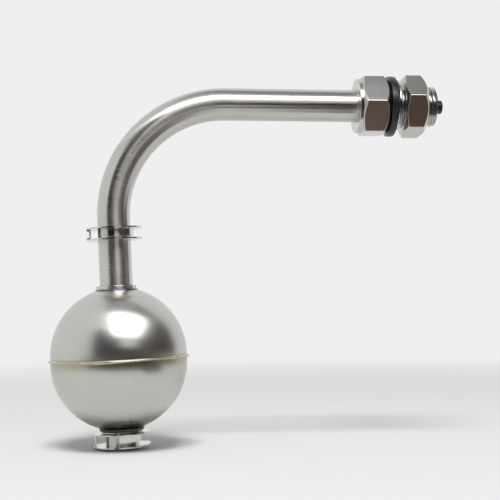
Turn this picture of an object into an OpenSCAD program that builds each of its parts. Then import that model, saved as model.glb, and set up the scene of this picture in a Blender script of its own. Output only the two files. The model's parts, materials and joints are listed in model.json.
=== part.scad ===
// Side-mounted float level switch with a bent stem and a ball float.
// Millimetres. The origin is the centre of the gasket's sealing face, on the thread axis.
// +X runs along the thread, out through the tank wall, and +Z is up. The leg hangs down.

/* [Stem] */
// Outside diameter of the stem tube
tube_d = 12.7; // [12.5:0.1:13]
// Wall thickness of the stem tube
tube_wall = 1; // [0.8:0.1:1.1]
// From the sealing face back to where the bend starts
arm_reach = 67.3; // [40:1:160]
// Radius of the bend, to the middle of the tube
bend_r = 43.5; // [38:0.5:60]
// Angle that the tube turns through, in degrees
bend_turn = 92.3; // [88:0.1:94]

/* [Float] */
// Radius of the float ball
ball_r = 26; // [25.5:0.1:27]
// Straight skirt of each half of the ball, above or below the seam
ball_skirt = 1.4; // [0:0.1:2]
// Sheet thickness of the ball
ball_wall = 0.8; // [0.5:0.1:1]
// How far the weld seam stands out from the ball
seam_proud = 1.05; // [0.4:0.05:1.2]
// Outside diameter of the float's guide tube
guide_d = 15.4; // [15.2:0.1:16]
// Free travel of the float up the leg, between the two stop clips
float_travel = 17.4; // [10:0.1:30]

/* [Stop clips] */
// Outside radius of a clip's flanges
clip_r = 10.8; // [9.5:0.1:12]
// Sheet thickness of a clip
clip_sheet = 0.5; // [0.4:0.05:0.6]
// Height of the upper clip, over both flanges
upper_clip_h = 4.9; // [4.5:0.1:5.5]
// Height of the lower clip, over both flanges
lower_clip_h = 5.3; // [4.5:0.1:5.4]
// From the end of the bend down to the top of the upper clip
upper_clip_drop = 3.6; // [3:0.1:3.8]

/* [Mounting head] */
// Width across the flats of the hexagons
hex_af = 22; // [21:0.5:24]
// Length of the mounting body from its left face to the gasket
body_len = 12.5; // [11:0.1:14]
// Length of the round shoulder before the body's hexagon
shoulder_len = 1.5; // [1:0.1:2]
// Thickness of the gasket
gasket_t = 2.6; // [2:0.1:3]
// Outside diameter of the gasket
gasket_d = 24; // [21:0.1:25]
// Outside diameter of the thread
thread_d = 16; // [16:0.1:16.2]
// Pitch of the thread
thread_pitch = 1.5; // [1.25:0.25:1.5]
// Where the threaded shank ends
shank_end = 16.4; // [15.5:0.1:18]
// Where the nut's inner face stands
nut_start = 3.3; // [2.5:0.1:3.5]
// Thickness of the lock nut
nut_t = 9; // [7:0.1:9]
// Outside radius of the flat washer
washer_r = 10.4; // [9.5:0.1:12]
// Thickness of the flat washer
washer_t = 0.6; // [0.5:0.1:0.9]
// How far the loose washer leans away from the gasket, in degrees
washer_lean = 3; // [0:0.5:3]
// Angle of the body's first hexagon corner above the front, in degrees
body_hex_turn = 58.9; // [0:0.1:60]
// Angle of the nut's first hexagon corner above the front, in degrees
nut_hex_turn = 70.4; // [60:0.1:120]

/* [Reed switch] */
// Length of the reed switch's glass
reed_len = 14; // [10:0.5:14]
// Diameter of an insulated lead
lead_d = 1.6; // [1.2:0.1:1.8]
// Sideways distance of each lead from the middle of the tube
lead_side = 1.3; // [1.2:0.1:1.6]

/* [Hidden] */

$fn = 64;
tiny = 0.01;                            // overlap that joins two touching shapes
gap = 0.1;                              // left between a stop and what meets it
hair = 0.01;                            // the leg's wall is thinner than the bend's by this
leg_entry = 0.5;                        // how far the leg's top goes into the bend
tube_r = tube_d / 2;
bore_r = tube_r - tube_wall;            // inside radius of the stem
hex_r = hex_af / sqrt(3);               // corner radius of the hexagons

// Mounting head, along +X from the sealing face
thread_r = thread_d / 2;
root_r = thread_r - 0.6134 * thread_pitch;
crest_flat = thread_pitch / 8 + 0.05;
body_start = -gasket_t - body_len;      // the body's left face
shoulder_r = hex_af / 2 - 0.25;
socket_end = body_start + 8.3;          // the stem is pushed in as far as this
wire_bore_r = 5.2;                      // hole through the shank
undercut_end = 0.25;                    // the plain neck under the gasket ends here
thread_count = ceil((shank_end - undercut_end) / thread_pitch);
nut_end = nut_start + nut_t;
nut_bore_r = thread_r + 0.05;
washer_bore_r = thread_r + 0.25;
washer_mid = 0.05 + washer_t / 2 + washer_r * sin(washer_lean);
grommet_start = 12;
nose_r = 2.75;                          // the grommet's narrow nose
nose_len = 3.6;

// Float, measured from its middle
guide_r = guide_d / 2;
guide_bore_r = guide_r - 0.7;
guide_half = ball_skirt + ball_r + 0.5; // half of the guide tube's length
ball_in_r = ball_r - ball_wall;
guide_join = ball_skirt + ball_r * cos(asin(guide_r / ball_r));
neck_r = 8.5;                           // the lower shell's drawn neck
neck_end = guide_half - 0.7;

// Leg, measured down from the end of the bend
float_drop = upper_clip_drop + upper_clip_h + gap + float_travel + guide_half;
lower_clip_drop = float_drop + guide_half + gap;
leg_len = lower_clip_drop + lower_clip_h + 0.4;
clip_bore_r = tube_r + 0.05;
clip_collar_r = 7.4;                    // outside of the collar that grips the stem
clip_collar_h = 3;
plug_len = 3;

// Reed switch: the magnet is level with it at half of the float's travel
reed_drop = float_drop - float_travel / 2;
reed_top = reed_drop - reed_len / 2;
reed_end = reed_drop + reed_len / 2;
board_half = 20;
jacket_r = bore_r - 0.2;
jacket_half = 22;

// Puts its children at the end of the bend, with -Z pointing down the leg
module on_leg() {
    translate([-arm_reach, 0, -bend_r])
        rotate([0, 90 - bend_turn, 0])
            translate([-bend_r, 0, 0])
                children();
}

// Puts its children at the middle of the float, at rest
module on_float() {
    on_leg() translate([0, 0, -float_drop]) children();
}

// Turns a shape that stands on Z so that it lies along +X
module along_x() {
    rotate([0, 90, 0]) children();
}

// A ring standing on Z
module ring(r_out, r_in, h) {
    difference() {
        cylinder(r = r_out, h = h);
        translate([0, 0, -1]) cylinder(r = r_in, h = h + 2);
    }
}

// A rod or pipe that follows the stem: arm, bend and the leg down to leg_end.
// r_in is 0 for a solid rod. side moves it across the bend's plane. The leg's wall is
// thinner by a hair on each side, and its top goes a little way into the bend's.
module bent_rod(r, arm_start, leg_end, side = 0, r_in = 0) {
    translate([-arm_reach, side, 0])
        along_x() rod_piece(r, r_in, arm_reach + arm_start);
    translate([-arm_reach, side, -bend_r])
        rotate([90, 0, 0]) rotate([0, 0, 90])
            rotate_extrude(angle = bend_turn, $fn = 128)
                translate([bend_r, 0]) rotate(180) difference() {
                    circle(r = r, $fn = 48);
                    if (r_in > 0) circle(r = r_in, $fn = 48);
                }
    on_leg() translate([0, side, -leg_end])
        rod_piece(r - hair, r_in > 0 ? r_in + hair : 0, leg_end + leg_entry);
}

// A straight piece of the rod or pipe, standing on Z
module rod_piece(r, r_in, h) {
    if (r_in > 0) ring(r, r_in, h);
    else cylinder(r = r, h = h);
}

// A hexagonal block along +X from x0, with both ends turned down to a cone.
// left and right are [radius at the end face, axial depth of the cone].
module chamfered_hex(x0, len, turn, left, right) {
    reach = 2;                          // the cones run this far past the corners
    left_slope = left[1] / (hex_r - left[0]);
    right_slope = right[1] / (hex_r - right[0]);
    translate([x0, 0, 0]) along_x()
        intersection() {
            rotate([0, 0, -90 - turn]) cylinder(r = hex_r, h = len, $fn = 6);
            rotate_extrude()
                polygon([
                    [0, 0], [left[0], 0],
                    [hex_r + reach, left[1] + reach * left_slope],
                    [hex_r + reach, len - right[1] - reach * right_slope],
                    [right[0], len], [0, len]
                ]);
        }
}

// The stem: one bent stainless tube
module stem_tube() {
    color("silver") bent_rod(tube_r, socket_end, leg_len, r_in = bore_r);
}

// The disc that closes the stem's lower end, slightly domed
module stem_end_plug() {
    dome = 0.4;
    color("gainsboro") on_leg() translate([0, 0, -leg_len])
        rotate_extrude()
            polygon(concat(
                [[0, plug_len], [bore_r, plug_len]],
                [for (i = [0:6]) [bore_r * cos(i * 15), -dome * sin(i * 15)]]
            ));
}

// The weld bead where the stem enters the mounting body
module stem_weld() {
    bead = 0.45;
    color("gray") translate([body_start, 0, 0]) along_x()
        rotate_extrude()
            polygon([
                [tube_r, 0], [tube_r + bead, 0],
                [tube_r + 0.75 * bead, -0.5 * bead], [tube_r, -bead]
            ]);
}

// The threaded shank along +X: a row of ridges at the thread's real pitch, with a
// small chamfer at the free end
module threaded_shank() {
    chamfer = 0.28;
    overlap = 1;                        // runs this far into the hexagon
    intersection() {
        union() {
            translate([-gasket_t - overlap, 0, 0]) along_x()
                cylinder(r = root_r, h = shank_end + gasket_t + overlap);
            for (i = [1:thread_count])
                translate([undercut_end + (i - 0.5) * thread_pitch, 0, 0]) along_x()
                    rotate_extrude()
                        polygon([
                            [wire_bore_r, -thread_pitch / 2], [root_r, -thread_pitch / 2 + 0.1],
                            [thread_r, -crest_flat / 2], [thread_r, crest_flat / 2],
                            [root_r, thread_pitch / 2 - 0.1], [wire_bore_r, thread_pitch / 2]
                        ]);
        }
        translate([-gasket_t - overlap, 0, 0]) along_x()
            rotate_extrude()
                polygon([
                    [0, 0], [thread_r + 1, 0],
                    [thread_r + 1, shank_end + gasket_t + overlap - chamfer - 1],
                    [thread_r - chamfer, shank_end + gasket_t + overlap],
                    [0, shank_end + gasket_t + overlap]
                ]);
    }
}

// The round shoulder on the body's left, standing on Z, with a small chamfer
module shoulder() {
    chamfer = 0.25;
    rotate_extrude()
        polygon([
            [0, 0], [shoulder_r - chamfer, 0], [shoulder_r, chamfer],
            [shoulder_r, shoulder_len + tiny], [0, shoulder_len + tiny]
        ]);
}

// The shoulder, hexagon and threaded shank in one piece, bored for the stem and leads
module mounting_body() {
    color("lightgray") difference() {
        union() {
            translate([body_start, 0, 0]) along_x() shoulder();
            chamfered_hex(body_start + shoulder_len, body_len - shoulder_len, body_hex_turn,
                [shoulder_r, 1], [hex_af / 2 - 1, 2.4]);
            threaded_shank();
        }
        translate([body_start - 1, 0, 0]) along_x()
            cylinder(r = tube_r, h = socket_end - body_start + 1);
        translate([body_start, 0, 0]) along_x()
            cylinder(r = wire_bore_r, h = shank_end - body_start + 1);
    }
}

// The black rubber gasket behind the tank wall, with rounded rims
module gasket() {
    edge = 0.4;
    color("black") translate([-gasket_t, 0, 0]) along_x()
        rotate_extrude()
            polygon([
                [root_r, 0], [gasket_d / 2 - edge, 0], [gasket_d / 2, edge],
                [gasket_d / 2, gasket_t - edge], [gasket_d / 2 - edge, gasket_t],
                [root_r, gasket_t]
            ]);
}

// The thin washer that hangs loose on the thread, its foot against the gasket
module flat_washer() {
    color("silver") translate([washer_mid, 0, 0]) rotate([0, washer_lean, 0]) along_x()
        translate([0, 0, -washer_t / 2]) ring(washer_r, washer_bore_r, washer_t);
}

// The lock nut, with a bore that clears the thread's crests
module lock_nut() {
    mouth = 0.6;
    color("lightgray") difference() {
        chamfered_hex(nut_start, nut_t, nut_hex_turn,
            [hex_af / 2 - 0.6, 1.3], [hex_af / 2 - 0.8, 1.9]);
        translate([nut_start - 1, 0, 0]) along_x() cylinder(r = nut_bore_r, h = nut_t + 2);
        for (face = [nut_start, nut_end])
            translate([face, 0, 0]) along_x()
                rotate_extrude()
                    polygon([
                        [nut_bore_r - 1, -mouth - 1], [nut_bore_r - 1, mouth + 1],
                        [nut_bore_r + mouth, 0]
                    ]);
    }
}

// The rubber bush that closes the shank, with a narrow nose for the leads
module lead_grommet() {
    nose_round = 0.5;
    color("black") difference() {
        translate([grommet_start, 0, 0]) along_x()
            rotate_extrude()
                polygon([
                    [0, 0], [wire_bore_r, 0], [wire_bore_r, shank_end - grommet_start],
                    [wire_bore_r - 0.5, shank_end - grommet_start + 0.4],
                    [nose_r + 0.6, shank_end - grommet_start + 0.6],
                    [nose_r, shank_end - grommet_start + 1.1],
                    [nose_r, shank_end - grommet_start + nose_len - nose_round],
                    [nose_r - nose_round, shank_end - grommet_start + nose_len],
                    [0, shank_end - grommet_start + nose_len]
                ]);
        for (side = [-lead_side, lead_side])
            translate([grommet_start - 1, side, 0]) along_x()
                cylinder(r = lead_d / 2, h = shank_end - grommet_start + nose_len + 2);
    }
}

// Resin poured round the leads in the shank
module potting_seal() {
    color("dimgray") difference() {
        translate([socket_end, 0, 0]) along_x()
            cylinder(r = wire_bore_r, h = grommet_start - socket_end);
        for (side = [-lead_side, lead_side])
            translate([socket_end - 1, side, 0]) along_x()
                cylinder(r = lead_d / 2, h = grommet_start - socket_end + 2);
    }
}

// An insulated lead, from the grommet's nose down the stem to the switch
module lead(side, leg_end) {
    bent_rod(lead_d / 2, shank_end + nose_len, leg_end, side);
}

module red_lead() {
    color("firebrick") lead(lead_side, reed_top - 8);
}

module black_lead() {
    color("black") lead(-lead_side, reed_end + 4);
}

// The switch's glass tube, with rounded ends
module reed_glass() {
    glass_r = 1.15;
    color("palegreen") on_leg() translate([0, lead_side, -reed_drop])
        rotate_extrude()
            polygon(concat(
                [for (i = [0:6]) [glass_r * sin(i * 15), reed_len / 2 - glass_r * (1 - cos(i * 15))]],
                [for (i = [6:-1:0]) [glass_r * sin(i * 15), -reed_len / 2 + glass_r * (1 - cos(i * 15))]]
            ));
}

// The switch's two metal wires: one straight up, one down and back up to its lead
module reed_wires() {
    wire_r = 0.3;
    foot = reed_end + 8;
    color("goldenrod") on_leg() {
        translate([0, lead_side, -reed_top]) cylinder(r = wire_r, h = 8);
        translate([0, lead_side, -foot]) cylinder(r = wire_r, h = 8);
        translate([0, -lead_side, -foot]) cylinder(r = wire_r, h = 4);
        for (side = [-lead_side, lead_side])
            translate([0, side, -foot]) sphere(r = wire_r);
        translate([0, -lead_side, -foot]) rotate([-90, 0, 0])
            cylinder(r = wire_r, h = 2 * lead_side);
    }
}

// The strip that carries the switch
module reed_board() {
    board_t = 0.8;
    board_w = 7.6;
    color("darkgreen") on_leg()
        translate([1.6, -board_w / 2, -reed_drop - board_half])
            cube([board_t, board_w, 2 * board_half]);
}

// A heat-shrink sleeve standing on Z, over a wire below and a lead above
module solder_sleeve() {
    difference() {
        cylinder(r = lead_d / 2 + 0.25, h = 6);
        translate([0, 0, 3]) cylinder(r = lead_d / 2, h = 4);
        translate([0, 0, -1]) cylinder(r = 0.3, h = 5);
    }
}

module solder_sleeves() {
    color("dimgray") on_leg() {
        translate([0, lead_side, -reed_top + 5]) solder_sleeve();
        translate([0, -lead_side, -reed_end - 7]) solder_sleeve();
    }
}

// The insulating tube round the board
module reed_jacket() {
    color("whitesmoke") on_leg() translate([0, 0, -reed_drop - jacket_half])
        ring(jacket_r, jacket_r - 0.35, 2 * jacket_half);
}

// Resin that holds the switch in the foot of the stem
module foot_resin() {
    color("dimgray") on_leg() translate([0, 0, -leg_len + plug_len])
        cylinder(r = bore_r, h = leg_len - plug_len - reed_drop - jacket_half);
}

// Half of a round disc on a short skirt, from the axis outwards
module dome_outline(r) {
    translate([0, ball_skirt]) intersection() {
        circle(r = r, $fn = 128);
        square(r);
    }
    square([r, ball_skirt]);
}

// Half of the ball: a spherical shell on its skirt, open for the guide tube, with a
// drawn neck of this radius round the opening, or none at 0
module half_shell(neck = 0) {
    rotate_extrude($fn = 128) difference() {
        union() {
            dome_outline(ball_r);
            if (neck > 0) square([neck, neck_end]);
        }
        dome_outline(ball_in_r);
        square([guide_r, 2 * ball_r]);
    }
}

module float_upper_shell() {
    color("lightgray") on_float() half_shell();
}

module float_lower_shell() {
    color("lightgray") on_float() mirror([0, 0, 1]) half_shell(neck_r);
}

// The weld round the ball's waist, standing proud of both halves
module float_seam_weld() {
    half = 0.55;
    color("silver") on_float()
        rotate_extrude($fn = 128)
            polygon([
                [ball_r, -half], [ball_r + 0.7 * seam_proud, -half],
                [ball_r + seam_proud, -0.4 * half], [ball_r + seam_proud, 0.4 * half],
                [ball_r + 0.7 * seam_proud, half], [ball_r, half]
            ]);
}

// The tube through the float, which slides on the stem
module float_guide_tube() {
    color("silver") on_float() translate([0, 0, -guide_half])
        ring(guide_r, guide_bore_r, 2 * guide_half);
}

// Weld bead between the guide tube and a shell, standing on Z
module collar_weld(bead) {
    rotate_extrude()
        polygon([
            [guide_r, 0], [guide_r + bead, 0],
            [guide_r + 0.8 * bead, 0.5 * bead], [guide_r, 0.8 * bead]
        ]);
}

module upper_collar_weld() {
    color("slategray") on_float()
        translate([0, 0, guide_join]) collar_weld(0.5);
}

module lower_collar_weld() {
    color("slategray") on_float() mirror([0, 0, 1])
        translate([0, 0, neck_end]) collar_weld(0.5);
}

// The ring magnet that works the switch, above the middle of the float
module ring_magnet() {
    color("dimgray") on_float() translate([0, 0, -4]) ring(12, guide_r + 0.3, 8);
}

// Two thin rings on the guide tube that hold the magnet
module magnet_retainers() {
    color("silver") on_float()
        for (z = [-4.9, 4.1])
            translate([0, 0, z]) ring(10.5, guide_r, 0.8);
}

// A stop clip standing on Z: two split flanges, a collar that grips the stem,
// and a strap at the left that joins the flanges. split_a is the angle of the
// slit to the left of the front, in degrees.
module stop_clip(h, split_a) {
    slit = 0.7;
    strap_w = 5.5;
    strap_x = -(clip_r - 0.75);
    collar_from = -90 - split_a;
    collar_turn = 250;
    difference() {
        union() {
            for (z = [0, h - clip_sheet])
                translate([0, 0, z]) cylinder(r = clip_r, h = clip_sheet);
            translate([0, 0, h - clip_sheet - clip_collar_h])
                rotate([0, 0, collar_from])
                    rotate_extrude(angle = collar_turn)
                        polygon([
                            [clip_bore_r - 0.5, 0], [clip_collar_r, 0],
                            [clip_collar_r, clip_collar_h + tiny],
                            [clip_bore_r - 0.5, clip_collar_h + tiny]
                        ]);
            translate([strap_x, -strap_w / 2, 0]) cube([clip_sheet, strap_w, h]);
        }
        translate([0, 0, -1]) cylinder(r = clip_bore_r, h = h + 2);
        rotate([0, 0, -90 - split_a]) translate([tube_r - 1, -slit / 2, -1])
            cube([clip_r, slit, h + 2]);
    }
}

module upper_stop_clip() {
    color("silver") on_leg()
        translate([0, 0, -upper_clip_drop - upper_clip_h]) stop_clip(upper_clip_h, 20);
}

module lower_stop_clip() {
    color("silver") on_leg()
        translate([0, 0, -lower_clip_drop - lower_clip_h]) stop_clip(lower_clip_h, 10);
}

stem_tube();
stem_end_plug();
stem_weld();
mounting_body();
gasket();
flat_washer();
lock_nut();
lead_grommet();
potting_seal();
red_lead();
black_lead();
reed_glass();
reed_wires();
reed_board();
solder_sleeves();
reed_jacket();
foot_resin();
float_upper_shell();
float_lower_shell();
float_seam_weld();
float_guide_tube();
upper_collar_weld();
lower_collar_weld();
ring_magnet();
magnet_retainers();
upper_stop_clip();
lower_stop_clip();
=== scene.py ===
# %% [markdown]
# # A float level switch, dressed for its portrait
# The object is a bent stainless stem with a threaded head at one end and a ball float on
# its hanging leg. The frame already holds every piece at its real size, so this lesson
# only adds what steel, rubber and weld look like. Each step says what a piece is on the
# real object, how it could be made in Blender, and why this way was chosen.

# %% Load the frame
import json
from math import asin, atan2, cos, pi, radians, sin, sqrt, tau

import bmesh
import bpy
from mathutils import Matrix, Vector, noise

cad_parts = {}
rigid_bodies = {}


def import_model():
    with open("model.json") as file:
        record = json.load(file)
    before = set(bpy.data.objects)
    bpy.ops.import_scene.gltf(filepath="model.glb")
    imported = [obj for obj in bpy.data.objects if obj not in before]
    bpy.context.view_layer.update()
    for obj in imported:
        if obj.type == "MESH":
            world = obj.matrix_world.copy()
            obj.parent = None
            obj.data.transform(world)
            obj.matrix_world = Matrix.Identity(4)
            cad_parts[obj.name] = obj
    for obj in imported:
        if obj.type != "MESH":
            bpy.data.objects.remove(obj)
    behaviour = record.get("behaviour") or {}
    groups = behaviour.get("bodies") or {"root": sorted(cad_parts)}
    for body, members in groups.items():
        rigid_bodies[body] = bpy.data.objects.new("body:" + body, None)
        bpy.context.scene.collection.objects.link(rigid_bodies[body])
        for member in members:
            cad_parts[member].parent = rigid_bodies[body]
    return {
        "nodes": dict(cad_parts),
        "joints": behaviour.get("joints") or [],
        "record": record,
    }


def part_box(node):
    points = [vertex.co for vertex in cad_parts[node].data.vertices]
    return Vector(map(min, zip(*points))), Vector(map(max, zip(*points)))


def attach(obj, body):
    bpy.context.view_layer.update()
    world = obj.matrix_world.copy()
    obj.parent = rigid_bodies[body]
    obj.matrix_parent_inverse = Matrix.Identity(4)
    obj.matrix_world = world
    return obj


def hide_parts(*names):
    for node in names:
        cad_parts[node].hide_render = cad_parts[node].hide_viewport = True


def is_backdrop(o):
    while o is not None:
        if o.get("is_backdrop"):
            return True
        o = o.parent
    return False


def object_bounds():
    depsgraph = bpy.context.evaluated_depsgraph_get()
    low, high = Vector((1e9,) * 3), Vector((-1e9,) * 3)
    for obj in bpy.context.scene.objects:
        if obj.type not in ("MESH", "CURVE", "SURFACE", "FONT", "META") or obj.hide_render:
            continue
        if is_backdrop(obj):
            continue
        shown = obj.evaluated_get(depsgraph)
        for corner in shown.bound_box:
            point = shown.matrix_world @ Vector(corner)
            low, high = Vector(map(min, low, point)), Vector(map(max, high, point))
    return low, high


for leftover in list(bpy.data.objects):
    bpy.data.objects.remove(leftover)
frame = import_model()
for plain in list(bpy.data.materials):
    bpy.data.materials.remove(plain)
CAD_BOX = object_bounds()
JOINTS = {joint["name"]: joint for joint in frame["joints"]}
print("nodes:", len(frame["nodes"]), "joints:", ", ".join(JOINTS))

# %% [markdown]
# ## The sizes that everything hangs on
# The frame's joints say where the leg points and where the middle of the float is, and
# the nodes' boxes say how long and how thick the pieces are. Reading them keeps the
# looks on the part, whatever its driving sizes are. What a box can't say, such as the
# bend's radius or the thread's pitch, is written once, in the step that first needs it.

# %% Sizes read from the frame
MM = 0.001
UP = Vector(JOINTS["float_slide"]["axis"]).normalized()
BALL = Vector(JOINTS["float_spin"]["pos_m"])
LEG_X = Vector((0, 1, 0)).cross(UP)
BEND_TURN = pi / 2 + atan2(-UP.x, UP.z)


def along(axis, node, origin=Vector((0, 0, 0))):
    """Lowest and highest place of a node's own points along an axis."""
    runs = [(v.co - origin).dot(axis) for v in frame["nodes"][node].data.vertices]
    return min(runs), max(runs)


def reach(axis, node, origin=Vector((0, 0, 0))):
    """Smallest and largest distance of a node's points from an axis."""
    sides = []
    for vertex in frame["nodes"][node].data.vertices:
        arm = vertex.co - origin
        sides.append((arm - axis * arm.dot(axis)).length)
    return min(sides), max(sides)


OUT = Vector((1, 0, 0))                 # along the thread, away from the stem
TUBE_R, BEAD_R = reach(OUT, "stem_weld")
BALL_R = reach(UP, "float_upper_shell", BALL)[1]
SEAM_R = reach(UP, "float_seam_weld", BALL)[1]
GUIDE_IN, GUIDE_R = reach(UP, "float_guide_tube", BALL)
GUIDE_HALF = along(UP, "float_guide_tube", BALL)[1]
print("stem", TUBE_R, "ball", BALL_R, "seam", SEAM_R, "guide", GUIDE_IN, GUIDE_R)
ARM_REACH = 67.3 * MM
BEND_R = 43.5 * MM
BEND_MIDDLE = Vector((-ARM_REACH, 0, -BEND_R))
BEND_END = BEND_MIDDLE - LEG_X * BEND_R
print("the float's middle is off the leg's line by", (BALL - BEND_END).dot(LEG_X) / MM, "mm")

# %% [markdown]
# ## The camera
# The photograph's view was measured on the object itself: the edges of the tube, the
# ball, the clips and the hexagons fix where the camera stood and how it was turned. A
# camera that looks along its own -Z axis is set from those turns directly, because
# aiming it by hand would only come close.

# %% Set the camera where the photographer stood
VIEW_YAW = radians(5.776)
VIEW_PITCH = radians(-3.391)
VIEW_ROLL = radians(-0.405)
VIEW_OFFSET = Vector((57.106, 404.300, 57.394)) * MM   # right, away and up, from the origin
FOCAL_PIXELS = 1009.114
IMAGE_PIXELS = 500
SENSOR = 36


def add(name, data):
    """Puts an object with this data in the scene."""
    thing = bpy.data.objects.new(name, data)
    bpy.context.scene.collection.objects.link(thing)
    return thing


turn = (Matrix.Rotation(VIEW_ROLL, 3, "Y") @ Matrix.Rotation(VIEW_PITCH, 3, "X")
        @ Matrix.Rotation(VIEW_YAW, 3, "Z"))
lens = bpy.data.cameras.new("portrait")
lens.sensor_width = SENSOR
lens.lens = FOCAL_PIXELS * SENSOR / IMAGE_PIXELS
lens.clip_start = 0.01
lens.clip_end = 20
camera = add("portrait", lens)
axes = Matrix((turn.row[0], turn.row[2], -turn.row[1])).transposed()
camera.matrix_world = Matrix.Translation(-(turn.transposed() @ VIEW_OFFSET)) @ axes.to_4x4()
bpy.context.scene.camera = camera
bpy.context.scene.view_settings.view_transform = "Standard"
print("camera at", tuple(round(v, 4) for v in camera.matrix_world.translation))

# %% [markdown]
# ## Shader maths written as sums
# A finish is a tree of nodes, and most of its nodes only add or multiply. Building each
# one by hand hides what the finish does. So one small class wraps a socket and gives it
# Python's own operators: `0.2 + 0.1 * noise` then makes the two Math nodes itself.

# %% A socket that can do sums
class Value:
    """An output socket of a finish's tree that takes part in Python expressions."""

    def __init__(self, finish, socket):
        self.finish = finish
        self.socket = socket

    def math(self, operation, first, second):
        return self.finish.node("ShaderNodeMath", {"operation": operation}, {0: first, 1: second})

    def __add__(self, other):
        return self.math("ADD", self, other)

    def __radd__(self, other):
        return self.math("ADD", other, self)

    def __sub__(self, other):
        return self.math("SUBTRACT", self, other)

    def __rsub__(self, other):
        return self.math("SUBTRACT", other, self)

    def __mul__(self, other):
        return self.math("MULTIPLY", self, other)

    def __rmul__(self, other):
        return self.math("MULTIPLY", other, self)

    def over(self, other):
        """The larger of the two."""
        return self.math("MAXIMUM", self, other)

    def above(self, other):
        """1 where this is larger than the other, and 0 elsewhere."""
        return self.math("GREATER_THAN", self, other)

    def step(self, low, high):
        """Rises smoothly from 0 at low to 1 at high."""
        settings = {"interpolation_type": "SMOOTHSTEP"}
        return self.finish.node("ShaderNodeMapRange", settings, {0: self, 1: low, 2: high})


print("sockets can now be added, taken away and multiplied")

# %% [markdown]
# ## A finish that makes its own nodes
# Every kind of node that isn't a sum comes from the one method `node`. It takes the
# node's settings before its sockets, because some settings change which sockets there
# are. The few shorter methods after it are the nodes that steel needs again and again.

# %% A finish
class Finish:
    """A material, or the world, whose tree grows as expressions ask for nodes."""

    def __init__(self, owner, shader):
        owner.use_nodes = True
        self.owner = owner
        self.tree = owner.node_tree
        self.shader = self.tree.nodes[shader]

    def put(self, socket, value):
        if isinstance(value, Value):
            self.tree.links.new(value.socket, socket)
        else:
            socket.default_value = value

    def node(self, kind, settings=None, inputs=None, output=0):
        """Makes a node: its settings first, then its sockets, and gives one output."""
        made = self.tree.nodes.new(kind)
        for name, setting in (settings or {}).items():
            setattr(made, name, setting)
        for key, value in (inputs or {}).items():
            self.put(made.inputs[key], value)
        return Value(self, made.outputs[output])

    def set(self, **sockets):
        """Sets the shader's sockets: base_color stands for Base Color, and so on."""
        for name, value in sockets.items():
            title = name.replace("_", " ").title().replace("Ior", "IOR")
            self.put(self.shader.inputs[title], value)

    def place(self):
        """Where a point is on its piece, in the frame's metres."""
        return self.node("ShaderNodeTexCoord", output="Object")

    def split(self, vector, axis):
        return self.node("ShaderNodeSeparateXYZ", inputs={0: vector}, output=axis)

    def join(self, x, y, z):
        return self.node("ShaderNodeCombineXYZ", inputs={0: x, 1: y, 2: z})

    def along(self, axis, origin=(0, 0, 0)):
        """How far a point is along an axis from an origin."""
        arm = self.node("ShaderNodeVectorMath", {"operation": "SUBTRACT"},
                        {0: self.place(), 1: tuple(origin)})
        return self.node("ShaderNodeVectorMath", {"operation": "DOT_PRODUCT"},
                         {0: arm, 1: tuple(axis)}, output=1)

    def noise(self, vector, size, detail=3, rough=0.5):
        """Cloudy noise from 0 to 1, whose blotches are about this size in metres."""
        return self.node("ShaderNodeTexNoise", inputs={
            "Vector": vector, "Scale": 1 / size, "Detail": detail, "Roughness": rough})

    def mix(self, factor, first, second):
        """One colour turning into another as the factor goes from 0 to 1. A Mix node has
        several sockets of each name, so the colours' own are given by their numbers."""
        return self.node("ShaderNodeMix", {"data_type": "RGBA"},
                         {0: factor, 6: first, 7: second}, output=2)

    def bump(self, height, depth):
        """Raises the surface by height times depth, in metres."""
        self.set(normal=self.node("ShaderNodeBump", inputs={"Height": height, "Distance": depth}))


def grey(level, warmth=0.0):
    """A colour of one level, with a touch of warmth."""
    return (level * (1 + warmth), level, level * (1 - warmth), 1)


def shade(tone, factor):
    """The same colour, lighter or darker."""
    return tuple(min(1, factor * v) for v in tone[:3]) + (1,)


def steel(name, tone, roughness):
    """A metal finish with its plain values set, ready for its marks."""
    finish = Finish(bpy.data.materials.new(name), "Principled BSDF")
    finish.set(base_color=tone, metallic=1.0, roughness=roughness)
    return finish


print("finishes can be written as sums")

# %% [markdown]
# ## The stem's steel
# The stem is drawn stainless tube, polished by a belt that ran round it, so its fine
# scratches smear each reflection along the tube: the light above shows as a bright line
# all the way down the leg. The shader's anisotropy does that, turned by a quarter, with
# the directions coming from the mesh's own texture space, which is set on the leg's axis
# further down. The scratches that can be seen one by one are thin noise along a run that
# follows the bend, worked out from the point's own place. They are very shallow, because
# a deeper bump breaks the smear up into specks.

# %% Stem steel
STEEL = (0.60, 0.585, 0.56, 1)
STRETCH = 0.02                          # how slowly the noise changes along a scratch


def stem_run(finish):
    """How far along the stem a point is, from the start of the bend."""
    spot = finish.place()
    right = finish.split(spot, 0) - BEND_MIDDLE.x
    high = finish.split(spot, 2) - BEND_MIDDLE.z
    angle = finish.node("ShaderNodeMath", {"operation": "ARCTAN2"}, {0: 0 - right, 1: high})
    past_bend = 0 - finish.along(UP, BEND_END)
    on_arm = right.above(0)
    on_leg = past_bend.above(0)
    bent = angle * BEND_R * (1 - on_arm) * (1 - on_leg)
    return bent - right * on_arm + (past_bend + BEND_TURN * BEND_R) * on_leg


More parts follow.
